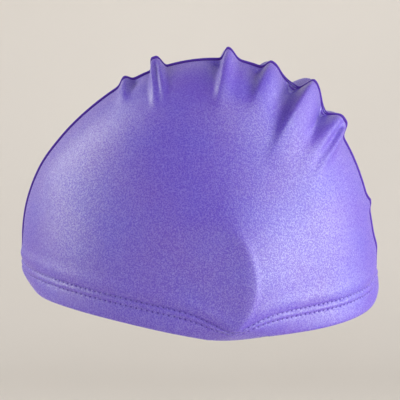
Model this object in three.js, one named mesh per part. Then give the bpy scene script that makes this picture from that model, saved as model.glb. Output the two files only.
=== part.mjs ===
// A swim cap of thin stretch cloth, in the form that it has when it is worn.
// Two side panels are sewn together over the crown, from the forehead to the nape.
// The seam gathers the cloth into puckers, and a doubled hem runs round the head.
//
// Millimetres. +Z is up, the forehead is at -Y and the wearer's left ear at +X.
// The origin is where the top of the head bears on the inside of the crown.
import * as THREE from "three";

// The worn cap: half its breadth and length at the hem, and its height over the ears
const HALF_WIDTH = 77;
const HALF_LENGTH = 95;
const CROWN_HEIGHT = 133.5;
const CLOTH = 1.2;

// The crown seam: the cloth peaks towards it, rolls down into it and is turned in under it
const SEAM_GAP = 0.3;
const SEAM_ROLL = 0.6;
const SEAM_TURN = 4;
const SEAM_PEAK = 1.5;
const SEAM_PEAK_WIDTH = 12;

// The hem, and how far its edge rises from the ears to the forehead and to the nape,
// with what the seam pulls up at its two ends
const HEM_DEPTH = 13.5;
const HEM_CLOTH = 2.4;
const HEM_GAP = 0.3;
const FRONT_RISE = 16.2;
const BACK_RISE = 5;
const FRONT_PULL = 5.5;
const BACK_PULL = 3;

// The tallest pucker, and the width and run that the table of folds gives in shares
const PUCKER_HEIGHT = 8.6;
const PUCKER_WIDTH = 6;
const PUCKER_REACH = 60;

// The ear under the cloth: its middle is this far back of the cap's and above the hem,
// and it is narrower by this much at the lobe
const EAR_HALF_WIDTH = 18.6;
const EAR_HALF_HEIGHT = 31;
const EAR_LIFT = 9.5;
const EAR_BACK = 11;
const EAR_UP = 28;
const LOBE_NARROWS = 7;

// The lobe, where the hem dips and tucks in: the tuck starts at a height above the hem's
// low point and is full this far below it
const LOBE_BACK = 17;
const LOBE_DIP = 9;
const LOBE_DIP_WIDTH = 13;
const LOBE_TUCK = 7.5;
const LOBE_TUCK_WIDTH = 22;
const LOBE_TUCK_START = 6;
const LOBE_TUCK_DROP = 8;

// How full a section is: 2 is a plain oval, more is squarer
const LEVEL_FULLNESS = 2.15;
const CROWN_FULLNESS = 2.65;

// The line of the seam from the forehead over the crown to the nape.
// turn is in degrees round from the front, reach a share of a plain oval's radius.
const SEAM_LINE = [
  { turn: 0, reach: 1.0 },
  { turn: 12, reach: 1.028 },
  { turn: 24, reach: 1.064 },
  { turn: 32, reach: 1.064 },
  { turn: 42, reach: 1.038 },
  { turn: 54, reach: 1.01 },
  { turn: 66, reach: 0.996 },
  { turn: 78, reach: 0.992 },
  { turn: 90, reach: 1.0 },
  { turn: 104, reach: 1.016 },
  { turn: 118, reach: 1.04 },
  { turn: 130, reach: 1.052 },
  { turn: 142, reach: 1.055 },
  { turn: 152, reach: 1.043 },
  { turn: 164, reach: 1.019 },
  { turn: 180, reach: 1.014 },
];

// The folds of the puckers that the seam gathers, from the forehead back: crests, and the
// valleys between them, whose height is below 0. turn is where one meets the seam and drift
// how far it swings as it runs down, in degrees. height, front and back (its two flanks),
// start (how far down from the seam it comes in) and left and right (its run down each
// panel) are shares of PUCKER_HEIGHT, PUCKER_WIDTH and PUCKER_REACH. shape is 2 for a round
// crest, and more for a flatter one with steeper flanks.
const FOLDS = [
  { turn: 65.4, drift: -2.2, height: 0.36, front: 0.83, back: 0.4, shape: 2.2, start: 0, left: 0.57, right: 0.43 },
  { turn: 67.9, drift: -2.2, height: -0.22, front: 0.4, back: 0.6, shape: 2, start: 0.05, left: 0.5, right: 0.37 },
  { turn: 76.3, drift: -0.9, height: 0.73, front: 0.52, back: 0.6, shape: 4, start: 0, left: 0.77, right: 0.67 },
  { turn: 76.6, drift: -0.6, height: -0.28, front: 0.33, back: 0.33, shape: 2, start: 0.15, left: 0.77, right: 0.6 },
  { turn: 97, drift: -2.4, height: -0.3, front: 0.87, back: 0.37, shape: 2, start: 0.05, left: 0.83, right: 0.63 },
  { turn: 99.2, drift: -2.6, height: 0.77, front: 0.4, back: 0.8, shape: 2.2, start: 0, left: 0.9, right: 0.77 },
  { turn: 109.1, drift: -2.9, height: -0.28, front: 0.77, back: 0.38, shape: 2, start: 0.05, left: 0.73, right: 0.57 },
  { turn: 111.8, drift: -3, height: 0.52, front: 0.45, back: 1.3, shape: 2.2, start: 0, left: 0.83, right: 0.67 },
  { turn: 121.6, drift: -4.8, height: -0.49, front: 0.9, back: 0.42, shape: 2, start: 0.02, left: 1, right: 0.12 },
  { turn: 124.6, drift: -5, height: 0.98, front: 0.47, back: 1.32, shape: 2.2, start: 0, left: 1.1, right: 0.77 },
  { turn: 131.2, drift: -2.4, height: -0.37, front: 0.57, back: 0.38, shape: 2, start: 0.02, left: 0.77, right: 0.12 },
  { turn: 135.8, drift: -2.2, height: 0.71, front: 0.93, back: 0.88, shape: 3.4, start: 0, left: 0.97, right: 0.73 },
  { turn: 136.4, drift: -2.2, height: -0.4, front: 0.4, back: 0.38, shape: 2, start: 0.1, left: 0.93, right: 0.67 },
  { turn: 155.4, drift: 1, height: 0.17, front: 0.4, back: 0.5, shape: 2.2, start: 0, left: 0.43, right: 0.33 },
  { turn: 166, drift: 0.5, height: 0.1, front: 0.83, back: 0.83, shape: 2.2, start: 0, left: 0.43, right: 0.33 },
];

// How a fold fades along its run. It spreads along it, and a crest keeps some width inside
// the cloth.
const RUN_SHAPE = 2;
const RUN_END_SHAPE = 1.4;
const FOLD_SPREAD = 0.3;
const THINNEST_FLANK = 0.3;

// Shapes of the hem line, as shares of the way round: where the front's rise begins, how
// late the back's comes, and how near the seam its pull is felt
const RISE_START = 0.04;
const BACK_RISE_SHAPE = 3;
const FRONT_PULL_SPREAD = 0.32;
const BACK_PULL_SPREAD = 0.25;

// Shapes of the ear and the lobe, in shares of the ear's half sizes and of the drop. The
// cloth leaves the ear's rim with a small round and runs straight to the head behind, above
// and in front, and it rises to the rim slowly from the temple.
const EAR_BACK_RUN = 1.9;
const EAR_TOP_RUN = 1.1;
const EAR_FRONT_RUN = 0.8;
const EAR_FRONT_SPREAD = 3.2;
const EAR_ROUND = 0.14;
const EAR_TEMPLE = 3;
const EAR_LEAN = 1.4;
const LOBE_DIP_SHAPE = 1.5;
const LOBE_TUCK_SHAPE = 1.3;
const LOBE_TUCK_MOST = 1.3;

// Mesh: stations from the forehead to the nape, with some at the top and the foot of each
// fold's flanks, and rows from the seam to the hem
const PLAIN_STATIONS = 20;
const CLOSEST_STATIONS = 0.005;
const FLANK_TOP = 0.7;
const FLANK_FOOT = 1.6;
const OUTER_ROWS = 20;
const INNER_ROWS = 11;
const ROW_EASE = 0.09;

const clothColour = new THREE.Color().setRGB(0.47, 0.37, 0.79, THREE.SRGBColorSpace);
const panelCloth = new THREE.MeshStandardMaterial({ color: clothColour, roughness: 0.5, metalness: 0 });
const hemCloth = panelCloth.clone();

const ovalSize = new THREE.Vector3(HALF_WIDTH, HALF_LENGTH, CROWN_HEIGHT);
const seamLine = new THREE.CubicInterpolant(
  SEAM_LINE.map((row) => row.turn),
  SEAM_LINE.map((row) => row.reach),
  1,
);

// A place on the cloth is named by a direction: a unit vector from a point inside the head,
// at the height of the hem's low point, before the oval's three sizes are applied.
function turnOf(direction) {
  return THREE.MathUtils.radToDeg(Math.atan2(direction.z, -direction.y));
}

function reachOf(direction) {
  const sideways = Math.abs(direction.x);
  const upright = Math.hypot(direction.y, direction.z);
  const crownShare = upright > 0 ? (direction.z / upright) ** 2 : 0;
  const fullness = THREE.MathUtils.lerp(LEVEL_FULLNESS, CROWN_FULLNESS, crownShare);
  const full = (sideways ** fullness + upright ** fullness) ** (-1 / fullness);
  const turn = THREE.MathUtils.clamp(turnOf(direction), 0, 180);
  return full * (1 + (seamLine.evaluate(turn)[0] - 1) * upright ** 2);
}

function formPoint(direction) {
  return direction.clone().multiply(ovalSize).multiplyScalar(reachOf(direction));
}

function formNormal(direction) {
  const step = 1e-3;
  const along = new THREE.Vector3(1, 0, 0).cross(direction);
  if (along.length() < step) {
    return new THREE.Vector3(Math.sign(direction.x), 0, 0);
  }
  along.normalize();
  const across = new THREE.Vector3().crossVectors(direction, along);
  const slope = (tangent) => {
    const ahead = formPoint(direction.clone().addScaledVector(tangent, step).normalize());
    const behind = formPoint(direction.clone().addScaledVector(tangent, -step).normalize());
    return ahead.sub(behind);
  };
  return slope(along).cross(slope(across)).normalize();
}

// The hem: its lower edge is lowest over the ears, and the seam pulls it up at both ends.
// round is the angle round the head, 0 at the forehead and PI at the nape.
function hemEdgeHeight(round) {
  const forward = Math.cos(round);
  const front = FRONT_RISE * Math.max(0, (forward + RISE_START) / (1 + RISE_START));
  const back = BACK_RISE * Math.max(0, -forward) ** BACK_RISE_SHAPE;
  const [pull, spread] = forward > 0 ? [FRONT_PULL, FRONT_PULL_SPREAD] : [BACK_PULL, BACK_PULL_SPREAD];
  return front + back + pull * Math.exp(-((Math.sin(round) / spread) ** 2));
}

function hemTopHeight(round) {
  const fromLobe = Math.abs(-HALF_LENGTH * Math.cos(round) - LOBE_BACK) / LOBE_DIP_WIDTH;
  return hemEdgeHeight(round) + HEM_DEPTH - LOBE_DIP * Math.exp(-(fromLobe ** LOBE_DIP_SHAPE));
}

// The direction whose cloth lies at this height, at this angle round the head
function directionAt(round, height) {
  const direction = new THREE.Vector3();
  let rise = height / CROWN_HEIGHT;
  for (let pass = 0; pass < 5; pass += 1) {
    const level = Math.sqrt(1 - rise ** 2);
    direction.set(Math.sin(round) * level, -Math.cos(round) * level, rise);
    rise = height / (CROWN_HEIGHT * reachOf(direction));
  }
  return direction;
}

// How far the seam's tension and the folds lift the cloth at a direction, on the cloth's
// face or inset into it
function seamLift(direction, panel, inset) {
  const upright = Math.hypot(direction.y, direction.z);
  const turn = Math.atan2(direction.z, -direction.y);
  const fromSeam = HALF_WIDTH * Math.atan2(Math.abs(direction.x), upright);
  const pitch = Math.hypot(HALF_LENGTH * Math.sin(turn), CROWN_HEIGHT * Math.cos(turn)) * upright;
  let lift = SEAM_PEAK * (Math.exp(-fromSeam / SEAM_PEAK_WIDTH) - 1);
  for (const fold of FOLDS) {
    const run = fromSeam / (fold[panel] * PUCKER_REACH);
    if (run < 1) {
      const crest = THREE.MathUtils.degToRad(fold.turn + fold.drift * run);
      const offset = (turn - crest) * pitch;
      const outer = (offset < 0 ? fold.front : fold.back) * PUCKER_WIDTH;
      const crestFlank = Math.max(outer - inset, outer * THINNEST_FLANK);
      const flank = (fold.height > 0 ? crestFlank : outer + inset) * (1 + FOLD_SPREAD * run);
      const rise = Math.exp(-(Math.abs(offset / flank) ** fold.shape));
      const start = fold.start * PUCKER_REACH;
      const begun = start > 0 ? 1 - Math.exp(-((fromSeam / start) ** 2)) : 1;
      const left = (1 - run ** RUN_SHAPE) ** RUN_END_SHAPE;
      lift += fold.height * PUCKER_HEIGHT * begun * left * rise;
    }
  }
  return lift;
}

// How far the ear pushes the cloth out, and how the hem tucks in under the lobe
function earLift(point) {
  const upward = (point.z - EAR_UP) / EAR_HALF_HEIGHT;
  const narrower = LOBE_NARROWS * Math.max(0, -upward) ** 2;
  const backward = (point.y - EAR_BACK + narrower) / EAR_HALF_WIDTH;
  const level = backward < 0 ? backward / EAR_FRONT_SPREAD : backward;
  const levelRun = backward < 0 ? EAR_FRONT_RUN : EAR_BACK_RUN;
  const fromMiddle = Math.hypot(level, upward);
  const pastRim = (fromMiddle - 1 + Math.hypot(fromMiddle - 1, EAR_ROUND)) / 2;
  const run = (levelRun * level ** 2 + EAR_TOP_RUN * upward ** 2) / fromMiddle ** 2 || EAR_TOP_RUN;
  const lean = Math.max(0, (backward + EAR_TEMPLE) / (1 + EAR_TEMPLE)) ** EAR_LEAN;
  const lift = EAR_LIFT * lean * Math.max(0, 1 - pastRim / run) ** 2;
  const below = THREE.MathUtils.clamp((LOBE_TUCK_START - point.z) / LOBE_TUCK_DROP, 0, LOBE_TUCK_MOST);
  const nearLobe = Math.exp(-(((point.y - LOBE_BACK) / LOBE_TUCK_WIDTH) ** 2));
  return lift - LOBE_TUCK * below ** LOBE_TUCK_SHAPE * nearLobe;
}

// A point of the cloth on the left side, this far in from its outer face
function clothPoint(direction, panel, depth) {
  const point = formPoint(direction);
  const lift = seamLift(direction, panel, depth);
  point.addScaledVector(formNormal(direction), lift - depth);
  point.x += earLift(point);
  return point;
}

// Skins a row of closed loops of points into one solid. Loops at both ends of an open row
// may repeat a point, and a face that this makes empty is left out.
function skin(loops, closed, mirrored) {
  const positions = [];
  const numbers = new Map();
  const numberOf = (point) => {
    const key = point.toArray().map((value) => value.toFixed(3)).join(" ");
    if (!numbers.has(key)) {
      numbers.set(key, positions.length / 3);
      positions.push(point.x, point.y, point.z);
    }
    return numbers.get(key);
  };
  const rings = loops.map((loop) => loop.map(numberOf));
  const faces = [];
  const addFace = (a, b, c) => {
    if (a !== b && b !== c && c !== a) {
      faces.push(...(mirrored ? [a, b, c] : [a, c, b]));
    }
  };
  const spans = closed ? rings.length : rings.length - 1;
  for (let i = 0; i < spans; i += 1) {
    const here = rings[i];
    const next = rings[(i + 1) % rings.length];
    here.forEach((corner, j) => {
      const k = (j + 1) % here.length;
      addFace(corner, next[j], next[k]);
      addFace(corner, next[k], here[k]);
    });
  }
  const geometry = new THREE.BufferGeometry();
  geometry.setAttribute("position", new THREE.Float32BufferAttribute(positions, 3));
  geometry.setIndex(faces);
  geometry.computeVertexNormals();
  return geometry;
}

// The panels meet the hem band at the same stations, so that the gap between them is even
function panelHemDirection(share) {
  const round = Math.PI * share;
  return directionAt(round, hemTopHeight(round) + HEM_GAP);
}

const foreheadTurn = turnOf(panelHemDirection(0));
const napeTurn = turnOf(panelHemDirection(1));

// Shares of the way from the forehead to the nape: evenly, and on each fold's flanks
function stationShares() {
  const shares = Array.from({ length: PLAIN_STATIONS + 1 }, (_, i) => i / PLAIN_STATIONS);
  const degreesEach = THREE.MathUtils.radToDeg(PUCKER_WIDTH / CROWN_HEIGHT);
  for (const fold of FOLDS) {
    const flanks = [-FLANK_FOOT * fold.front, -FLANK_TOP * fold.front, 0, FLANK_TOP * fold.back, FLANK_FOOT * fold.back];
    for (const offset of flanks) {
      const turn = fold.turn + offset * degreesEach;
      shares.push((turn - foreheadTurn) / (napeTurn - foreheadTurn));
    }
  }
  const kept = [0];
  for (const share of shares.sort((a, b) => a - b)) {
    if (share - kept.at(-1) >= CLOSEST_STATIONS && share <= 1 - CLOSEST_STATIONS) {
      kept.push(share);
    }
  }
  return [...kept, 1];
}

const stations = stationShares();

// Rows lie closer together near the seam and near the ear
function easedRows(count) {
  return Array.from({ length: count + 1 }, (_, i) => {
    const share = i / count;
    return share - ROW_EASE * Math.sin(2 * Math.PI * share);
  });
}

// The line of a station down a panel: it leaves the seam square, as the puckers do, and
// bends to its place at the hem
function stationLine(seam, hem) {
  const angle = seam.angleTo(hem);
  const squareFromSeam = (share) => {
    const turn = angle * share;
    return new THREE.Vector3(Math.sin(turn), seam.y * Math.cos(turn), seam.z * Math.cos(turn));
  };
  return new THREE.CubicBezierCurve3(seam, squareFromSeam(1 / 3), squareFromSeam(2 / 3), hem);
}

// One side panel: a wall of cloth whose seam edge rolls down and is turned in
function panelGeometry(panel) {
  const side = panel === "left" ? 1 : -1;
  const place = (point) => new THREE.Vector3(side * (point.x + SEAM_GAP / 2), point.y, point.z);
  const loops = stations.map((share) => {
    const turn = THREE.MathUtils.degToRad(THREE.MathUtils.lerp(foreheadTurn, napeTurn, share));
    const seam = new THREE.Vector3(0, -Math.cos(turn), Math.sin(turn));
    const hem = panelHemDirection(share);
    const line = stationLine(seam, hem);
    const down = (row) => line.getPoint(row).normalize();
    const pastTurn = Math.min(1, CLOTH / (HALF_WIDTH * seam.angleTo(hem) || 1));
    const outer = easedRows(OUTER_ROWS).map((row) => clothPoint(down(row), panel, 0));
    const inner = easedRows(INNER_ROWS).map((row) => {
      return clothPoint(down(pastTurn + (1 - pastTurn) * row), panel, CLOTH);
    });
    if (share === 0 || share === 1) {
      const corner = clothPoint(seam, panel, 0);
      const inside = clothPoint(seam, panel, CLOTH);
      return [...outer.fill(corner), ...inner.fill(inside), inside, corner].map(place);
    }
    const normal = formNormal(seam);
    outer[0].addScaledVector(normal, -SEAM_ROLL);
    inner[0].x = CLOTH;
    const lipInside = inner[0].clone().addScaledVector(normal, CLOTH - SEAM_TURN);
    const lipOutside = lipInside.clone().setX(0);
    return [...outer, ...inner.reverse(), lipInside, lipOutside].map(place);
  });
  return skin(loops, false, side < 0);
}

// The hem band: the cloth turned up inside, with a round fold along its lower edge.
// up is a share of the band's height, in a share of its thickness.
function hemGeometry() {
  const section = [
    { up: 1, in: 0 },
    { up: 0.7, in: 0 },
    { up: 0.4, in: 0 },
    { up: 0.12, in: 0.03 },
    { up: 0.02, in: 0.25 },
    { up: 0, in: 0.5 },
    { up: 0.02, in: 0.75 },
    { up: 0.12, in: 0.97 },
    { up: 0.55, in: 1 },
    { up: 1, in: 1 },
  ];
  const left = stations.map((share) => ({ round: Math.PI * share, side: 1 }));
  const right = left.slice(1, -1).reverse().map(({ round }) => ({ round, side: -1 }));
  const loops = [...left, ...right].map(({ round, side }) => section.map((row) => {
    const height = THREE.MathUtils.lerp(hemEdgeHeight(round), hemTopHeight(round), row.up);
    const point = clothPoint(directionAt(round, height), "left", row.in * HEM_CLOTH);
    return point.setX(side * point.x);
  }));
  return skin(loops, true, false);
}

function namedMesh(name, geometry, material) {
  const mesh = new THREE.Mesh(geometry, material);
  mesh.name = name;
  return mesh;
}

// Modelled up from the hem's low point, then let down so that the crown's inside is at zero
const cap = new THREE.Group();
cap.add(namedMesh("left_panel", panelGeometry("left"), panelCloth));
cap.add(namedMesh("right_panel", panelGeometry("right"), panelCloth));
cap.add(namedMesh("hem_band", hemGeometry(), hemCloth));
cap.position.z = CLOTH - CROWN_HEIGHT;

export default cap;
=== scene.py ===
import math

import bmesh
import bpy
import numpy as np
from mathutils import Matrix, Vector


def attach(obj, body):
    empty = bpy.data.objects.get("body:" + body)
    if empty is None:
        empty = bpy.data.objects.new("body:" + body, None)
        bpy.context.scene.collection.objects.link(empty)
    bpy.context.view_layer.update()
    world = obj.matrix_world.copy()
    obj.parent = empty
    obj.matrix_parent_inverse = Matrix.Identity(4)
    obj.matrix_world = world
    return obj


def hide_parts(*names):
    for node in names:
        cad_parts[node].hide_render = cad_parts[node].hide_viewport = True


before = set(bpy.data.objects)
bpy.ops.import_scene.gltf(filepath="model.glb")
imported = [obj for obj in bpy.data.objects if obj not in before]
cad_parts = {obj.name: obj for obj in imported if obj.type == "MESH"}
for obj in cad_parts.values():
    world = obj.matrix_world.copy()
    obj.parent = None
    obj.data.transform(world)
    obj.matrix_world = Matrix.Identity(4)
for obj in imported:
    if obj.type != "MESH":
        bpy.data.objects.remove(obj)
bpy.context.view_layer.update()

# Side panels
# Two half domes of warp-knit stretch cloth, cut alike and sewn together over the crown.
# The seam gathers them into puckers, and the rest of the cloth is drawn tight.
# Lengths are in millimetres up from the hem's low point, as the cap was measured.
MM = 0.001
HALF_WIDTH = 77
HALF_LENGTH = 95
CROWN_HEIGHT = 133.5
HEAD_ROOM = 1.2
PLY = 0.8

# How full the dome is: 2 is a plain oval, and more is squarer
LEVEL_FULLNESS = 2.15
CROWN_FULLNESS = 2.65

# The seam's line over the crown, in degrees from the forehead to the nape, and its
# distance from the middle as a share of a plain oval's
SEAM_TURNS = [0, 12, 24, 32, 42, 54, 66, 78, 90, 104, 118, 130, 142, 152, 164, 180]
SEAM_REACHES = [
    1.0, 1.028, 1.064, 1.064, 1.038, 1.01, 0.996, 0.992,
    1.0, 1.022, 1.04, 1.052, 1.055, 1.043, 1.019, 1.014,
]

# The cloth is drawn down on both sides of the seam, which leaves it standing as a low ridge
SEAM_PEAK = 1.5
SEAM_PEAK_WIDTH = 12

# Each fold of the puckers: its turn round the seam and its drift down the panels in degrees,
# its height (a valley's is below nothing), the widths of its front and back flanks, its
# shape, how far down from the seam it starts, and how far it runs down the left and the
# right panel, in millimetres. A shape of 2 is a round crest, and more is a flatter crest
# with steeper flanks.
FOLD_COLUMNS = ("turn", "drift", "height", "front", "back", "shape", "start", "left", "right")
FOLD_ROWS = [
    (66.1, -2.6, 3.1, 3.8, 2.4, 2.2, 0, 34, 26),
    (68.6, -2.6, -2.2, 1.8, 3.6, 2.0, 3, 30, 22),
    (76.3, -0.9, 6.3, 3.1, 3.6, 4.0, 0, 46, 40),
    (76.6, -0.6, -2.8, 1.3, 1.3, 2.0, 9, 46, 36),
    (96.6, -2.4, -3.2, 5.0, 1.5, 2.0, 3, 48, 38),
    (98.6, -2.4, 6.0, 2.1, 4.4, 2.2, 0, 54, 20),
    (109.2, -2.9, -3.2, 4.4, 1.6, 2.0, 3, 44, 34),
    (111.6, -3.0, 4.6, 2.3, 6.8, 2.2, 0, 50, 20),
    (121.0, -4.4, -4.6, 5.2, 1.8, 2.0, 1, 56, 7),
    (123.7, -4.4, 8.2, 2.1, 9.8, 2.0, 0, 64, 46),
    (131.4, -2.4, -4.4, 3.4, 1.8, 2.0, 1, 46, 7),
    (135.8, -2.2, 6.1, 5.6, 5.3, 3.4, 0, 58, 44),
    (136.4, -2.2, -4.0, 1.8, 1.7, 2.0, 6, 56, 40),
    (155.4, 1.0, 1.5, 2.4, 3.0, 2.2, 0, 26, 20),
    (166.0, 0.5, 0.9, 5.0, 5.0, 2.2, 0, 26, 20),
]
FOLDS = [dict(zip(FOLD_COLUMNS, row)) for row in FOLD_ROWS]
FOLD_WIDENS = 0.3
FOLD_FADE = 1.4

# The bulge of the cloth over the ear. The cloth is drawn straight from the ear's rim to the
# back and up, and rises to it slowly from the temple. Its runs are shares of the ear.
EAR_BACK, EAR_UP = 11, 28
EAR_HALF_WIDTH, EAR_HALF_HEIGHT, EAR_LIFT = 18.6, 31, 9.5
EAR_FRONT_SPREAD, EAR_BACK_RUN, EAR_TOP_RUN, EAR_FRONT_RUN = 3.2, 1.9, 1.1, 0.8
EAR_ROUND, EAR_TEMPLE, EAR_LEAN = 0.14, 3.0, 1.4

# A step at the ear's rim, which fades out forward
RIM_STEP, RIM_WIDTH, RIM_FADE = 1.3, 0.07, 1.5

# Under the lobe the bulge narrows, and the lowest cloth tucks in
LOBE_BACK, LOBE_NARROWS = 17, 7
TUCK, TUCK_TOP, TUCK_RUN, TUCK_WIDTH = 7.5, 6, 8, 22
TUCK_MOST, TUCK_BEND = 1.3, 1.3

# The hem line, which the panels are cut to. It rises to the forehead and levels off at the
# brow, dips at the lobe and rises a little at the nape, where the seam pulls it up.
HEM_DEPTH = 13.5
HEM_NARROWS = 7.7
PANEL_LAP = 0.3
FRONT_RISE, FRONT_START = 16.2, 0.04
BROW_RISE, BROW_CORNER = 14.2, 8
LOBE_DROP, LOBE_WIDTH = 1.3, 13
BACK_RISE = 5.0
BACK_PULL, BACK_PULL_WIDTH = 3.0, 0.25


def seam_reach(turn):
    """The seam's distance from the middle, as a share of a plain oval's."""
    turns, reaches = np.array(SEAM_TURNS, float), np.array(SEAM_REACHES)
    slopes = np.gradient(reaches, turns)
    turn = np.clip(turn, 0, 180)
    i = np.clip(np.searchsorted(turns, turn, side="right") - 1, 0, len(turns) - 2)
    step = turns[i + 1] - turns[i]
    t = (turn - turns[i]) / step
    start = (1 + 2 * t) * (1 - t) ** 2 * reaches[i] + t * (1 - t) ** 2 * step * slopes[i]
    end = t**2 * (3 - 2 * t) * reaches[i + 1] + t**2 * (t - 1) * step * slopes[i + 1]
    return start + end


def unit(vectors):
    """The vectors at a length of one."""
    return vectors / np.maximum(np.linalg.norm(vectors, axis=-1, keepdims=True), 1e-12)


def lengths_along(line):
    """The length walked from the start of a line to each of its points."""
    steps = np.linalg.norm(np.diff(line, axis=0), axis=-1)
    return np.concatenate([[0], np.cumsum(steps)])


def reach_of(direction):
    """How far the smooth dome lies from the middle, in a direction, in shares of its sizes."""
    sideways = np.abs(direction[..., 0])
    upright = np.hypot(direction[..., 1], direction[..., 2])
    crown_share = (direction[..., 2] / np.maximum(upright, 1e-9)) ** 2
    fullness = LEVEL_FULLNESS + (CROWN_FULLNESS - LEVEL_FULLNESS) * crown_share
    full = (sideways**fullness + upright**fullness) ** (-1 / fullness)
    turn = np.degrees(np.arctan2(direction[..., 2], -direction[..., 1]))
    return full * (1 + (seam_reach(turn) - 1) * upright**2)


def form_point(direction):
    """A point of the smooth dome."""
    return direction * [HALF_WIDTH, HALF_LENGTH, CROWN_HEIGHT] * reach_of(direction)[..., None]


def form_normal(direction):
    """The outward normal of the smooth dome."""
    step = 1e-3
    along = unit(np.cross([1.0, 0, 0], direction) + [0, 1e-9, 0])
    across = np.cross(direction, along)

    def slope(tangent):
        ahead = form_point(unit(direction + tangent * step))
        return ahead - form_point(unit(direction - tangent * step))

    return unit(np.cross(slope(along), slope(across)))


def seam_lift(direction, side):
    """How far the seam's tension and the puckers' folds lift the cloth."""
    upright = np.hypot(direction[..., 1], direction[..., 2])
    turn = np.arctan2(direction[..., 2], -direction[..., 1])
    from_seam = HALF_WIDTH * np.arctan2(np.abs(direction[..., 0]), upright)
    pitch = np.hypot(HALF_LENGTH * np.sin(turn), CROWN_HEIGHT * np.cos(turn)) * upright
    lift = SEAM_PEAK * (np.exp(-from_seam / SEAM_PEAK_WIDTH) - 1)
    for fold in FOLDS:
        run = np.minimum(from_seam / fold[side], 1)
        offset = (turn - np.radians(fold["turn"] + fold["drift"] * run)) * pitch
        flank = np.where(offset < 0, fold["front"], fold["back"]) * (1 + FOLD_WIDENS * run)
        rise = np.exp(-(np.abs(offset / flank) ** fold["shape"]))
        if fold["start"]:
            rise *= 1 - np.exp(-((from_seam / fold["start"]) ** 2))
        lift += fold["height"] * (1 - run**2.0) ** FOLD_FADE * rise
    return lift


def ear_lift(point):
    """How far the ear pushes the cloth out, and how the cloth tucks in under the lobe."""
    upward = (point[..., 2] - EAR_UP) / EAR_HALF_HEIGHT
    lobe = LOBE_NARROWS * np.maximum(0, -upward) ** 2
    backward = (point[..., 1] - EAR_BACK + lobe) / EAR_HALF_WIDTH
    spread = np.where(backward < 0, EAR_FRONT_SPREAD, 1)
    from_middle = np.maximum(np.hypot(backward / spread, upward), 1e-6)
    run = np.where(backward < 0, EAR_FRONT_RUN, EAR_BACK_RUN) * (backward / spread) ** 2
    run = (run + EAR_TOP_RUN * upward**2) / from_middle**2
    past = from_middle - 1
    past = (past + np.sqrt(past**2 + EAR_ROUND**2)) / 2
    rise = np.maximum(0, (backward + EAR_TEMPLE) / (1 + EAR_TEMPLE)) ** EAR_LEAN
    lift = EAR_LIFT * rise * np.maximum(0, 1 - past / run) ** 2
    rim = (1 - np.tanh((from_middle - 1) / RIM_WIDTH)) / 2
    lift += RIM_STEP * rim * rise * np.clip(backward * RIM_FADE, 0, 1)
    below = np.clip((TUCK_TOP - point[..., 2]) / TUCK_RUN, 0, TUCK_MOST)
    near_lobe = np.exp(-(((point[..., 1] - LOBE_BACK) / TUCK_WIDTH) ** 2))
    return lift - TUCK * below**TUCK_BEND * near_lobe


def cloth_point(direction, side, lift=0.0):
    """A point on the outer face of the cloth, left of the seam, lifted along the normal."""
    lift = np.asarray(seam_lift(direction, side) + lift)[..., None]
    point = form_point(direction) + form_normal(direction) * lift
    point[..., 0] += ear_lift(point)
    return point


def edge_height(around):
    """The height of the hem's lower edge, at an angle round the cap from the forehead."""
    forward = np.cos(around)
    slope = FRONT_RISE * np.maximum(1e-3, (forward + FRONT_START) / (1 + FRONT_START))
    front = BROW_RISE * (1 + (BROW_RISE / slope) ** BROW_CORNER) ** (-1 / BROW_CORNER)
    lobe = LOBE_DROP * np.exp(-(((-HALF_LENGTH * forward - LOBE_BACK) / LOBE_WIDTH) ** 2))
    back = BACK_RISE * np.maximum(0, -forward) ** 3
    pull = BACK_PULL * np.exp(-((np.sin(around) / BACK_PULL_WIDTH) ** 2)) * (forward < 0)
    return front + back + pull - lobe


def hem_depth(around):
    """The hem's depth, which is foreshortened where the cloth tucks in under the lobe."""
    from_lobe = np.abs(-HALF_LENGTH * np.cos(around) - LOBE_BACK) / LOBE_WIDTH
    return HEM_DEPTH - HEM_NARROWS * np.exp(-(from_lobe**1.5))


def direction_at(around, height):
    """The direction whose cloth lies at a height, at an angle round the cap."""
    rise = height / CROWN_HEIGHT
    for _ in range(6):
        level = np.sqrt(1 - rise**2)
        direction = np.stack([np.sin(around) * level, -np.cos(around) * level, rise], -1)
        rise = height / (CROWN_HEIGHT * reach_of(direction))
    return direction


def to_metres(points):
    """Measured points in the part's frame, whose origin is under the crown."""
    return (points + [0, 0, HEAD_ROOM - CROWN_HEIGHT]) * MM


def cloth_mesh(name, columns, rows, place, merge):
    """A grid of cloth, moved to where place puts its columns and rows of points.

    place also gives each point a spot on the flat cloth, which the materials follow.
    """
    grid = bmesh.new()
    bmesh.ops.create_grid(grid, x_segments=columns, y_segments=rows, size=0.5)
    mesh = bpy.data.meshes.new(name)
    grid.to_mesh(mesh)
    shares = np.empty(len(mesh.vertices) * 3)
    mesh.vertices.foreach_get("co", shares)
    shares = shares.reshape(-1, 3) + 0.5
    column = np.rint(shares[:, 0] * columns).astype(int)
    row = np.rint(shares[:, 1] * rows).astype(int)
    points, spots = place(np.arange(columns + 1), np.arange(rows + 1))
    mesh.vertices.foreach_set("co", to_metres(points[column, row]).ravel())
    cloth = mesh.attributes.new("cloth", "FLOAT_VECTOR", "POINT")
    cloth.data.foreach_set("vector", (spots[column, row] * MM).ravel())
    grid.clear()
    grid.from_mesh(mesh)
    bmesh.ops.remove_doubles(grid, verts=grid.verts, dist=merge * MM)
    bmesh.ops.recalc_face_normals(grid, faces=grid.faces)
    for face in grid.faces:
        face.smooth = True
    grid.to_mesh(mesh)
    grid.free()
    return mesh


# A panel's columns run down from the seam, closer together where the puckers are
PANEL_COLUMNS, PANEL_ROWS = 290, 160
PUCKERS_FROM, PUCKERS_TO = 0.3, 0.83
PUCKERS_EDGE = 60
PUCKERS_CLOSER = 1.3

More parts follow.
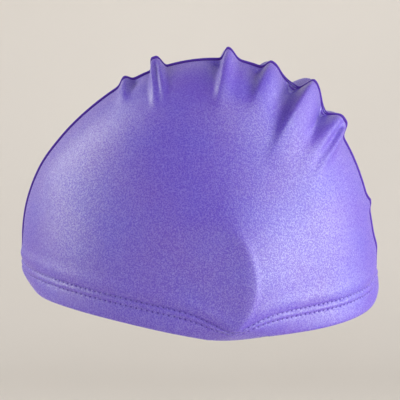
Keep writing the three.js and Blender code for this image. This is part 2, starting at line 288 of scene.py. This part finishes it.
# Its first rows are the edge turned in at the seam and the quarter round that leads out of
# it. The rest are a little closer together at both ends.
LIP_ROWS, ROLL_ROWS = 5, 5
SEAM_ROLL, MOST_ROLL_SHARE = 0.9, 0.25
SEAM_TURN = 4.2
SEAM_HALF_GAP = 0.08
ROW_EASE = 0.1

# The two seam edges roll over to the near side, so that the far one stands a little proud
FAR_LEAN, NEAR_LEAN, LEAN_WIDTH = 0.85, 0.7, 2.0

# Above the hem the cloth swells, most at the brow, and its last edge dips into the hem's seam
PUFF, PUFF_AT, PUFF_WIDTH = 0.55, 4.5, 3.2
BROW_PUFF, BROW_WIDTH = 0.8, 0.45
SHOULDER, SHOULDER_WIDTH = 0.5, 0.8
END_ROOM = 12


def panel_stations():
    """Shares along the seam of a panel's columns."""
    share = np.linspace(0, 1, 2001)
    begun = 1 / (1 + np.exp(-(share - PUCKERS_FROM) * PUCKERS_EDGE))
    ended = 1 / (1 + np.exp(-(share - PUCKERS_TO) * PUCKERS_EDGE))
    close = begun - ended
    walked = np.cumsum(1 + PUCKERS_CLOSER * (close[1:] + close[:-1]) / 2)
    walked = np.concatenate([[0], walked])
    return np.interp(np.linspace(0, walked[-1], PANEL_COLUMNS + 1), walked, share)


def row_shares(rows, angle):
    """The rows' shares of the way from the seam to the hem, which lies an angle away."""
    main_rows = PANEL_ROWS - LIP_ROWS - ROLL_ROWS
    quarter = np.radians(90) * (1 - np.clip((rows - LIP_ROWS) / ROLL_ROWS, 0, 1))
    main = np.clip((rows - LIP_ROWS - ROLL_ROWS) / main_rows, 0, 1)
    eased = main - ROW_EASE * np.sin(2 * np.pi * main)
    roll_share = np.minimum(MOST_ROLL_SHARE, SEAM_ROLL / np.maximum(HALF_WIDTH * angle, 1e-6))
    roll_share = roll_share[:, None]
    return roll_share * (1 - np.sin(quarter)) + (1 - roll_share) * eased


def row_drops(rows):
    """How deep the rows of the turned-in edge and of the quarter round lie in the seam."""
    quarter = np.radians(90) * (1 - np.clip((rows - LIP_ROWS) / ROLL_ROWS, 0, 1))
    turned_in = SEAM_TURN * np.clip(1 - rows / LIP_ROWS, 0, 1)
    return SEAM_ROLL * (1 - np.cos(quarter)) + turned_in


def column_directions(seam, hem, angle, share):
    """Directions down the columns, which leave the seam square to it and end at the hem."""

    def square(part):
        bent = (angle * part)[:, None]
        return np.concatenate([np.sin(bent), seam[:, 1:] * np.cos(bent)], -1)

    s = share[..., None]
    return unit(
        (1 - s) ** 3 * seam[:, None]
        + 3 * (1 - s) ** 2 * s * square(1 / 3)[:, None]
        + 3 * (1 - s) * s**2 * square(2 / 3)[:, None]
        + s**3 * hem[:, None]
    )


def brow_share(around):
    """One at the middle of the forehead, and nothing from the temples back."""
    return np.maximum(0, np.cos(around)) * np.exp(-((np.sin(around) / BROW_WIDTH) ** 4))


def panel_place(side):
    """The place of a panel's points, for cloth_mesh."""

    def place(columns, rows):
        station = panel_stations()[columns]
        around = math.pi * station
        hem = direction_at(around, edge_height(around) + hem_depth(around) - PANEL_LAP)
        turn_of_end = np.arctan2(hem[[0, -1], 2], -hem[[0, -1], 1])
        turn = turn_of_end[0] + (turn_of_end[1] - turn_of_end[0]) * station
        seam = np.stack([np.zeros_like(turn), -np.cos(turn), np.sin(turn)], -1)
        angle = np.arccos(np.clip((seam * hem).sum(-1), -1, 1))
        share = row_shares(rows, angle)
        direction = column_directions(seam, hem, angle, share)

        steps = np.linalg.norm(np.diff(cloth_point(direction, side), axis=1), axis=-1)
        to_hem = np.cumsum(steps[:, ::-1], axis=1)[:, ::-1]
        from_hem = np.concatenate([to_hem, np.zeros((len(station), 1))], axis=1)
        from_seam = share * angle[:, None] * HALF_WIDTH

        puff = (PUFF + BROW_PUFF * brow_share(around))[:, None]
        puff = puff * np.exp(-(((from_hem - PUFF_AT) / PUFF_WIDTH) ** 2))
        shoulder = SHOULDER * np.exp(-((from_hem / SHOULDER_WIDTH) ** 2))
        lean = FAR_LEAN if side == "right" else -NEAR_LEAN
        lean = lean * np.exp(-((from_seam / LEAN_WIDTH) ** 2))
        room = np.clip(angle * HALF_WIDTH / END_ROOM, 0, 1)[:, None]
        points = cloth_point(direction, side, room * (puff + lean) - shoulder)

        drop = row_drops(rows) * (angle > 0)[:, None]
        points -= form_normal(seam)[:, None] * drop[..., None]
        points[..., 0] += SEAM_HALF_GAP
        if side == "right":
            points[..., 0] *= -1
        along = np.broadcast_to(lengths_along(form_point(seam))[:, None], from_hem.shape)
        return points, np.stack([along, from_hem[:, :1] - from_hem, from_hem], -1)

    return place


class Shade:
    """An output of a shader node. Sums on it add Math nodes; node() adds any other node."""

    def __init__(self, tree, socket=None):
        self.tree = tree
        self.socket = socket

    def node(self, kind, settings, inputs, output=0):
        made = self.tree.nodes.new(kind)
        for name, value in settings.items():
            setattr(made, name, value)
        for name, value in inputs.items():
            if isinstance(value, Shade):
                self.tree.links.new(value.socket, made.inputs[name])
            else:
                made.inputs[name].default_value = value
        return Shade(self.tree, made.outputs[output] if len(made.outputs) else None)

    def math(self, operation, first, second=0.0):
        return self.node("ShaderNodeMath", {"operation": operation}, {0: first, 1: second})

    def clamped(self):
        return self.node("ShaderNodeClamp", {}, {"Value": self})

    def mix(self, factor, first, second):
        settings = {"data_type": "RGBA", "blend_type": "MIX"}
        return self.node("ShaderNodeMix", settings, {0: factor, 6: first, 7: second}, 2)

    def noise(self, place, scale, detail, rough):
        inputs = {"Vector": place, "Scale": scale, "Detail": detail, "Roughness": rough}
        return self.node("ShaderNodeTexNoise", {}, inputs)

    def __add__(self, other):
        return self.math("ADD", self, other)

    def __sub__(self, other):
        return self.math("SUBTRACT", self, other)

    def __rsub__(self, other):
        return self.math("SUBTRACT", other, self)

    def __mul__(self, other):
        return self.math("MULTIPLY", self, other)

    def __pow__(self, other):
        return self.math("POWER", self, other)

    __radd__ = __add__
    __rmul__ = __mul__


def new_shade(name):
    """A material of this name without nodes, and the Shade that adds them."""
    material = bpy.data.materials.new(name)
    material.use_nodes = True
    material.node_tree.nodes.clear()
    return material, Shade(material.node_tree)


VIOLET = (0.068, 0.008, 0.405, 1)
BLUE_VIOLET = (0.056, 0.018, 0.435, 1)
RED_VIOLET = (0.094, 0.008, 0.360, 1)
# The panels' crease at the seam is painted in this darker violet, as painted shade in the groove.
CREASE_SHADE_VIOLET = (0.060, 0.001, 0.300, 1)
GLINT_VIOLET = (0.32, 0.30, 0.76, 1)
GLOSS_TINT = (0.83, 1.0, 0.42, 1)
SHEEN_TINT = (0.80, 0.76, 1.0, 1)
CREASE_WIDTH, CREASE_MOST = 0.7, 1.4


def stretch_cloth(name, marks, painted_shade_violet, painted_shade_share, pit):
    """Violet satin stretch knit with a fine sparkle.

    marks gives a mask of dull places painted darker as painted shade: they take a share of
    the painted shade's violet and lie in pits as deep as the grain is high, times pit.
    """
    material, shade = new_shade(name)
    place = shade.node("ShaderNodeTexCoord", {}, {}, "Object")
    spot = shade.node("ShaderNodeAttribute", {"attribute_name": "cloth"}, {}, "Vector")
    mark = marks(shade, spot)

    blotch = shade.noise(place, scale=38.0, detail=2.0, rough=0.45)
    warmth = ((blotch - 0.5) * 2.4 + 0.5).clamped()
    tint = shade.mix(warmth, BLUE_VIOLET, RED_VIOLET)
    colour = shade.mix(0.35, VIOLET, tint)
    grain = shade.noise(place, scale=1150.0, detail=2.0, rough=0.6)
    fleck = shade.noise(place, scale=2100.0, detail=0.0, rough=0.5)
    glint = ((fleck - 0.68) * 9.0).clamped()
    pale = ((grain - 0.47) * 2.8).clamped() * 0.30 + glint * 0.2
    colour = shade.mix(pale, colour, GLINT_VIOLET)
    # Marked places are painted darker: painted shade in the seam's crease and needle holes.
    colour = shade.mix(mark * painted_shade_share, colour, painted_shade_violet)

    sparkle = shade.noise(place, scale=1500.0, detail=1.0, rough=0.5)
    gloss = ((sparkle - 0.44) * 6.0).clamped() * (1.0 - mark)
    rough = 0.55 - grain * 0.06 - glint * 0.15 + mark * 0.4

    knit = shade.node(
        "ShaderNodeTexWave",
        {"wave_type": "BANDS", "bands_direction": "X", "wave_profile": "SIN"},
        {"Vector": spot, "Scale": 700.0, "Distortion": 0.6, "Detail": 1.0, "Detail Scale": 2.0},
        1,
    )
    height = grain * 0.7 + knit * 0.25 - mark * pit
    bump = shade.node(
        "ShaderNodeBump", {}, {"Strength": 0.5, "Distance": 0.00028, "Height": height}
    )
    cloth = shade.node(
        "ShaderNodeBsdfPrincipled",
        {},
        {
            "Base Color": colour,
            "Roughness": rough,
            "Normal": bump,
            "Specular IOR Level": 1.0,
            "Specular Tint": GLOSS_TINT,
            "Coat Weight": gloss,
            "Coat Roughness": 0.5,
            "Coat IOR": 1.7,
            "Sheen Weight": 0.1,
            "Sheen Roughness": 0.35,
            "Sheen Tint": SHEEN_TINT,
        },
    )
    shade.node("ShaderNodeOutputMaterial", {}, {"Surface": cloth})
    return material


def seam_crease(shade, spot):
    """A mask of the narrow line where a panel turns into the seam, for painted shade."""
    from_seam = shade.node("ShaderNodeSeparateXYZ", {}, {"Vector": spot}, "Y")
    return (CREASE_MOST - from_seam * (1 / (CREASE_WIDTH * MM))).clamped()


def add_piece(name, mesh, material):
    """A piece of the cap with its mesh and material, on the one body."""
    piece = bpy.data.objects.new(name, mesh)
    bpy.context.scene.collection.objects.link(piece)
    mesh.materials.append(material)
    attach(piece, "root")
    return piece


def give_thickness(piece, thickness):
    """A wall of this thickness, inward from the cloth's outer face."""
    ply = piece.modifiers.new("ply", "SOLIDIFY")
    ply.thickness = thickness * MM
    ply.offset = -1


# The panels' seam crease is painted darker, as painted shade.
panel_cloth = stretch_cloth("violet_stretch_cloth", seam_crease, CREASE_SHADE_VIOLET, 1.0, 0.0)
for side in ("left", "right"):
    mesh = cloth_mesh(f"{side}_panel_cloth", PANEL_COLUMNS, PANEL_ROWS, panel_place(side), 0.06)
    panel = add_piece(f"{side}_panel_cloth", mesh, panel_cloth)
    give_thickness(panel, PLY)
    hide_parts(f"{side}_panel")

# Hem
# The panels' lower edge is turned up inside once and sewn down with two rows of stitches.
# It is one band of the same cloth, doubled, that grips all round.
STITCH_ROWS = (13.0, 9.5)
STITCHES = 194
HEM_COLUMNS = STITCHES * 8
HEM_PLY = 0.6

# The lower edge turns in under the brow, from this height down
BROW_TUCK, BROW_TUCK_TOP, BROW_TUCK_BEND = 4.6, 8, 1.3

# The band's section, down the outer face, round the lower edge and up the inner face. Each
# point has its height over the lower edge and its depth under the panels' face. The cloth
# is drawn in along both rows of stitches and swells out between them.
HEM_SECTION = [
    (14.0, 1.1), (13.6, 0.6), (13.3, 0.34), (13.0, 0.32), (12.7, 0.24), (12.35, 0.08),
    (12.0, -0.08), (11.3, -0.26), (10.6, -0.2), (10.2, -0.04), (9.95, 0.1), (9.72, 0.24),
    (9.5, 0.3), (9.25, 0.24), (8.95, 0.12), (8.5, 0.0), (7.6, -0.08), (6.2, -0.12),
    (4.4, -0.14), (2.6, -0.1), (1.3, 0.02), (0.5, 0.25), (0.1, 0.6), (0.0, 1.0),
    (0.12, 1.4), (0.6, 1.72), (2.0, 1.85), (6.0, 1.9), (10.5, 1.95), (13.9, 2.0),
]
OUTER_FACE_ROWS = 20

# Each needle hole draws the cloth in, so that it swells between the holes
NEEDLE_DENT, NEEDLE_DENT_WIDTH = 0.16, 0.5
# The needle holes are painted in this darker violet, as painted shade in the holes.
HOLE_SHADE_VIOLET = (0.035, 0.000, 0.220, 1)
HOLE_WIDTH, HOLE_MOST = 0.36, 1.6


def hem_point(share, up, depth):
    """A point of the hem band, at a share of the way round from the forehead."""
    around = 2 * math.pi * share
    around = np.where(around > math.pi, 2 * math.pi - around, around)
    height = edge_height(around) + hem_depth(around) * up / HEM_DEPTH
    tuck = BROW_TUCK * brow_share(around) * np.maximum(0, 1 - up / BROW_TUCK_TOP) ** BROW_TUCK_BEND
    point = cloth_point(direction_at(around, height), "left", -depth - tuck)
    point[..., 0] = np.where(share > 0.5, -point[..., 0], point[..., 0])
    return point


# Shares of the way round, and the lengths walked to them along the upper stitches
hem_shares = np.linspace(0, 1, 4001)
hem_walked = lengths_along(hem_point(hem_shares, np.full_like(hem_shares, STITCH_ROWS[0]), 0.0))
hem_length = float(hem_walked[-1])


def hem_share_at(length):
    """The share of the way round at a length along the upper stitches."""
    return np.interp(length, hem_walked, hem_shares)


def hem_place(columns, rows):
    """The place of the hem band's points, for cloth_mesh."""
    along = hem_length * columns / HEM_COLUMNS
    section = np.array(HEM_SECTION)[rows]
    share, up = np.broadcast_arrays(hem_share_at(along)[:, None], section[None, :, 0])
    depth = np.broadcast_to(section[None, :, 1], share.shape).copy()
    beat = np.cos(2 * np.pi * along * STITCHES / hem_length)[:, None]
    for row in STITCH_ROWS:
        near = np.exp(-(((up - row) / NEEDLE_DENT_WIDTH) ** 2)) * (rows < OUTER_FACE_ROWS)
        depth += near * NEEDLE_DENT * beat
    points = hem_point(share, up, depth)
    spots = np.stack([np.broadcast_to(along[:, None], up.shape), up, depth], -1)
    return points, spots


def needle_holes(shade, spot):
    """A mask of the needle holes: one between each two stitches of both rows."""
    along = shade.node("ShaderNodeSeparateXYZ", {}, {"Vector": spot}, "X")
    up = shade.node("ShaderNodeSeparateXYZ", {}, {"Vector": spot}, "Y")
    beside = shade.math("PINGPONG", along, hem_length / STITCHES * MM / 2)
    holes = []
    for row in STITCH_ROWS:
        distance = (beside**2 + (up - row * MM) ** 2) ** 0.5
        holes.append((HOLE_MOST - distance * (1 / (HOLE_WIDTH * MM))).clamped())
    return (holes[0] + holes[1]).clamped()


# The needle holes are dented and painted darker, as painted shade.
hem_cloth = stretch_cloth("violet_hem_cloth", needle_holes, HOLE_SHADE_VIOLET, 0.9, 1.5)
hem_mesh = cloth_mesh("hem_band_cloth", HEM_COLUMNS, len(HEM_SECTION) - 1, hem_place, 0.02)
hem = add_piece("hem_band_cloth", hem_mesh, hem_cloth)
give_thickness(hem, HEM_PLY)
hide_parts("hem_band")

# Hem stitches
# Two rows of polyester thread of the cloth's own colour, in short floats bent at both ends.
# They lie sunk in the inner ply, so outside only their needle holes and the dents show.
THREAD_RADIUS = 0.2
INNER_FACE_DEPTH = HEM_SECTION[-1][1]
THREAD_SUNK = 0.12
STITCH_LENGTH = 2.0
STITCH_SAG = 0.34
STITCH_SIDES = 6
STITCH_CUTS = 5
THREAD_END = 0.08
NEAR_STEP = 0.4
THREAD_VIOLET = (0.150, 0.100, 0.560, 1)
THREAD_LIGHT = (0.330, 0.270, 0.840, 1)


def thread_material():
    """Fine twisted thread with a soft shine."""
    material, shade = new_shade("violet_thread")
    place = shade.node("ShaderNodeTexCoord", {}, {}, "Object")
    fibre = shade.noise(place, scale=2600.0, detail=2.0, rough=0.6)
    bump = shade.node(
        "ShaderNodeBump", {}, {"Strength": 0.35, "Distance": 0.0001, "Height": fibre}
    )
    thread = shade.node(
        "ShaderNodeBsdfPrincipled",
        {},
        {
            "Base Color": shade.mix(fibre, THREAD_VIOLET, THREAD_LIGHT),
            "Roughness": 0.42 + fibre * 0.1,
            "Normal": bump,
            "Specular IOR Level": 0.6,
        },
    )
    shade.node("ShaderNodeOutputMaterial", {}, {"Surface": thread})
    return material


def stitch_mesh(length, radius, sag):
    """One float of thread: a thin round length that bends in at both ends."""
    float_of_thread = bmesh.new()
    bmesh.ops.create_cone(
        float_of_thread,
        cap_ends=True,
        segments=STITCH_SIDES,
        radius1=radius,
        radius2=radius,
        depth=length,
    )
    long_edges = [edge for edge in float_of_thread.edges if edge.calc_length() > length / 2]
    bmesh.ops.subdivide_edges(float_of_thread, edges=long_edges, cuts=STITCH_CUTS)
    for vert in float_of_thread.verts:
        share = vert.co.z / (length / 2)
        thin = math.sqrt(max(THREAD_END, 1 - share**4))
        vert.co = (vert.co.z, vert.co.x * thin, vert.co.y * thin - sag * share**4)
    bmesh.ops.recalc_face_normals(float_of_thread, faces=float_of_thread.faces)
    for face in float_of_thread.faces:
        face.smooth = True
    mesh = bpy.data.meshes.new("float_of_thread")
    float_of_thread.to_mesh(mesh)
    float_of_thread.free()
    return mesh


def lay_stitches(name, stitch, places):
    """Copies of a stitch, each at its middle, with its run along and its back outward."""
    threads = bmesh.new()
    for middle, along, outward in places:
        first = len(threads.verts)
        threads.from_mesh(stitch)
        threads.verts.ensure_lookup_table()
        sideways = outward.cross(along).normalized()
        turn = Matrix((along, sideways, along.cross(sideways))).transposed().to_4x4()
        bmesh.ops.transform(
            threads, matrix=Matrix.Translation(middle) @ turn, verts=threads.verts[first:]
        )
    mesh = bpy.data.meshes.new(name)
    threads.to_mesh(mesh)
    threads.free()
    return mesh


def hem_row_places(row):
    """The middle, the run and the outward side of each stitch of a row."""
    middles = (np.arange(STITCHES) + 0.5) * hem_length / STITCHES
    up = np.full(STITCHES, row)
    depth = INNER_FACE_DEPTH - THREAD_SUNK
    here = to_metres(hem_point(hem_share_at(middles), up, depth))
    ahead = to_metres(hem_point(hem_share_at(middles + NEAR_STEP), up, depth))
    above = to_metres(hem_point(hem_share_at(middles), up + NEAR_STEP, depth))
    for middle, front, top in zip(here, ahead, above):
        along = Vector(front - middle).normalized()
        outward = along.cross(Vector(top - middle)).normalized()
        if outward.dot(Vector((middle[0], middle[1], 0))) < 0:
            outward.negate()
        yield Vector(middle), along, outward


thread = thread_material()
stitch = stitch_mesh(STITCH_LENGTH * MM, THREAD_RADIUS * MM, STITCH_SAG * MM)
for name, row in zip(("hem_stitches_upper", "hem_stitches_lower"), STITCH_ROWS):
    add_piece(name, lay_stitches(name, stitch, hem_row_places(row)), thread)

# Crown seam thread
# The panels are sewn face to face. Where the seam opens a little, the thread that joins
# them shows as short rungs, deep between the two rolled edges.
RUNG_PITCH = 2.4
RUNG_DEPTH = 1.3
RUNG_LENGTH = 1.5
RUNG_RADIUS = 0.14
RUNGS_FROM, RUNGS_TO = 14, 170


def rung_places():
    """The middle, the run and the outward side of each rung, from the brow to the nape."""
    turn = np.linspace(math.radians(RUNGS_FROM), math.radians(RUNGS_TO), 3000)
    seam = np.stack([np.zeros_like(turn), -np.cos(turn), np.sin(turn)], -1)
    line = cloth_point(seam, "left", -RUNG_DEPTH)
    normal = form_normal(seam)
    walked = lengths_along(line)
    for length in np.arange(RUNG_PITCH / 2, walked[-1], RUNG_PITCH):
        middle = np.array([np.interp(length, walked, line[:, axis]) for axis in range(3)])
        outward = np.array([np.interp(length, walked, normal[:, axis]) for axis in range(3)])
        yield Vector(to_metres(middle)), Vector((1, 0, 0)), Vector(outward).normalized()


rung = stitch_mesh(RUNG_LENGTH * MM, RUNG_RADIUS * MM, RUNG_RADIUS * MM)
crown_thread = lay_stitches("crown_seam_thread", rung, rung_places())
add_piece("crown_seam_thread", crown_thread, thread)

# Floor
# A plain pale studio sweep of matt paper, in metres. It lies well under the cap, and its
# back edge curves up into a wall.
FLOOR_DROP = 0.34
SWEEP_FRONT, SWEEP_BACK, SWEEP_HALF_WIDTH = 4.0, 1.15, 4.0
SWEEP_RADIUS, SWEEP_STEPS, SWEEP_HEIGHT = 0.45, 16, 2.4
PAPER_SHADE = (0.66, 0.62, 0.56, 1)
PAPER_LIGHT = (0.71, 0.67, 0.61, 1)


def sweep_mesh():
    """The sweep's side line, pulled out to its width."""
    sweep = bmesh.new()
    floor_level = -CROWN_HEIGHT * MM - FLOOR_DROP
    corner = Vector((-SWEEP_BACK, 0, floor_level + SWEEP_RADIUS))
    profile = [Vector((SWEEP_FRONT, 0, floor_level)), Vector((corner.x, 0, floor_level))]
    for step in range(1, SWEEP_STEPS + 1):
        angle = math.radians(90) * step / SWEEP_STEPS
        profile.append(corner + Vector((-math.sin(angle), 0, -math.cos(angle))) * SWEEP_RADIUS)
    profile.append(Vector((corner.x - SWEEP_RADIUS, 0, floor_level + SWEEP_HEIGHT)))
    line = [sweep.verts.new(point - Vector((0, SWEEP_HALF_WIDTH, 0))) for point in profile]
    edges = [sweep.edges.new(pair) for pair in zip(line, line[1:])]
    pulled = bmesh.ops.extrude_edge_only(sweep, edges=edges)
    moved = [item for item in pulled["geom"] if isinstance(item, bmesh.types.BMVert)]
    bmesh.ops.translate(sweep, verts=moved, vec=(0, 2 * SWEEP_HALF_WIDTH, 0))
    for face in sweep.faces:
        face.smooth = True
        if face.normal.z < 0:
            face.normal_flip()
    mesh = bpy.data.meshes.new("studio_sweep")
    sweep.to_mesh(mesh)
    sweep.free()
    return mesh


def paper_material():
    """Pale matt paper with a faint cloudiness."""
    material, shade = new_shade("pale_paper")
    place = shade.node("ShaderNodeTexCoord", {}, {}, "Object")
    cloud = shade.noise(place, scale=3.0, detail=2.0, rough=0.5)
    colour = shade.mix(cloud, PAPER_SHADE, PAPER_LIGHT)
    paper = shade.node(
        "ShaderNodeBsdfPrincipled", {}, {"Base Color": colour, "Roughness": 0.9}
    )
    shade.node("ShaderNodeOutputMaterial", {}, {"Surface": paper})
    return material


sweep = bpy.data.objects.new("studio_sweep", sweep_mesh())
sweep.data.materials.append(paper_material())
bpy.context.scene.collection.objects.link(sweep)

# Light and camera
# Soft panels of light stand round the cap. The strong ones beside the brow and behind the
# nape give the satin its two broad glints, and the weak ones at the camera, the ear and
# above fill in between. The camera looks at the wearer's left side, a little from above.
AIM = Vector((0, 0, -0.0742))
LIGHT_DISTANCE = 1.3
WARM_WHITE = (1.0, 0.99, 0.97)
ROSE_WHITE = (1.0, 0.97, 0.98)
COOL_WHITE = (0.98, 0.99, 1.0)
AIR_COLOUR, AIR_STRENGTH = (0.95, 0.93, 1.0, 1), 0.28
CAMERA_DISTANCE, CAMERA_ELEVATION = 1.2, 10
LENS, SENSOR_WIDTH = 202, 36

# Each light's name, its azimuth from the camera's side to the picture's right and its
# elevation in degrees, its width and height in metres, its power in watts, and its colour
LIGHTS = [
    ("light_brow", -82, 8, 0.6, 0.7, 9.5, WARM_WHITE),
    ("light_brow_side", -113, 30, 0.6, 0.7, 9.0, WARM_WHITE),
    ("light_camera", 0, 0, 0.9, 0.8, 4.3, ROSE_WHITE),
    ("light_ear", 46, 0, 0.5, 0.7, 5.8, COOL_WHITE),
    ("light_nape", 80, 2, 0.6, 0.7, 13.8, COOL_WHITE),
    ("light_nape_side", 120, 20, 0.5, 0.6, 3.5, COOL_WHITE),
    ("light_nape_high", 66, 40, 0.4, 0.5, 5.8, COOL_WHITE),
    ("light_top", 40, 60, 0.4, 0.5, 3.5, COOL_WHITE),
]


def point_at_cap(item, azimuth, elevation, distance):
    """Stands a light or the camera off from the middle of the cap, and turns it there."""
    around, above = math.radians(azimuth), math.radians(elevation)
    away = Vector(
        (math.cos(around) * math.cos(above), math.sin(around) * math.cos(above), math.sin(above))
    )
    item.location = AIM + away * distance
    item.rotation_euler = away.to_track_quat("Z", "Y").to_euler()
    bpy.context.scene.collection.objects.link(item)


def add_light(name, azimuth, elevation, width, height, power, colour):
    """A soft panel of light."""
    panel_of_light = bpy.data.lights.new(name, "AREA")
    panel_of_light.shape = "RECTANGLE"
    panel_of_light.size = width
    panel_of_light.size_y = height
    panel_of_light.energy = power
    panel_of_light.color = colour
    light = bpy.data.objects.new(name, panel_of_light)
    point_at_cap(light, azimuth, elevation, LIGHT_DISTANCE)


for light_row in LIGHTS:
    add_light(*light_row)

world = bpy.data.worlds.new("studio_air")
world.use_nodes = True
air = world.node_tree.nodes["Background"]
air.inputs["Color"].default_value = AIR_COLOUR
air.inputs["Strength"].default_value = AIR_STRENGTH
bpy.context.scene.world = world
bpy.context.scene.view_settings.view_transform = "Standard"

lens = bpy.data.cameras.new("camera")
lens.sensor_width = SENSOR_WIDTH
lens.lens = LENS
camera = bpy.data.objects.new("camera", lens)
point_at_cap(camera, 0, CAMERA_ELEVATION, CAMERA_DISTANCE)
bpy.context.scene.camera = camera
